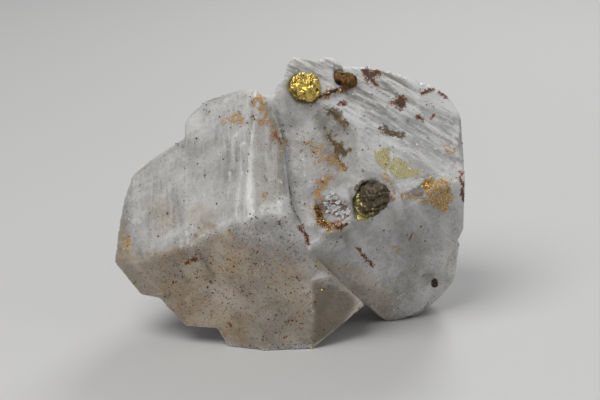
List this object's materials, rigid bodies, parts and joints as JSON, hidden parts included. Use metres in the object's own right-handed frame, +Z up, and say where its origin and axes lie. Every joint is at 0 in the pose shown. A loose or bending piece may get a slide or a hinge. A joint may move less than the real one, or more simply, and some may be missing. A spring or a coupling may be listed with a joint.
{
  "type": "manganoan calcite specimen",
  "caption": "Natural specimen of milky manganoan calcite: blocky rhombic crystals grown together, set with small lumps of chalcopyrite, resting on a flat break.",
  "frame": {"origin": "middle of the bounding box from above, on the flat break that the specimen rests on", "axes": "+X along the longest extent, to the right for a viewer who faces the lit crystal faces; the viewer stands at -Y; +Z up"},
  "size_m": [0.087, 0.0572, 0.0709],
  "materials": {
    "manganoan_calcite": "satin",
    "chalcopyrite_gold": "satin",
    "chalcopyrite_tarnished": "satin",
    "rusted_chalcopyrite": "matt",
    "pyrite": "satin"
  },
  "bodies": {
    "root": {"calcite_cluster": "manganoan_calcite", "chalcopyrite_top": "chalcopyrite_gold", "chalcopyrite_pocket": "chalcopyrite_tarnished", "chalcopyrite_rusted": "rusted_chalcopyrite", "pyrite_grain": "pyrite"}
  },
  "joints": []
}
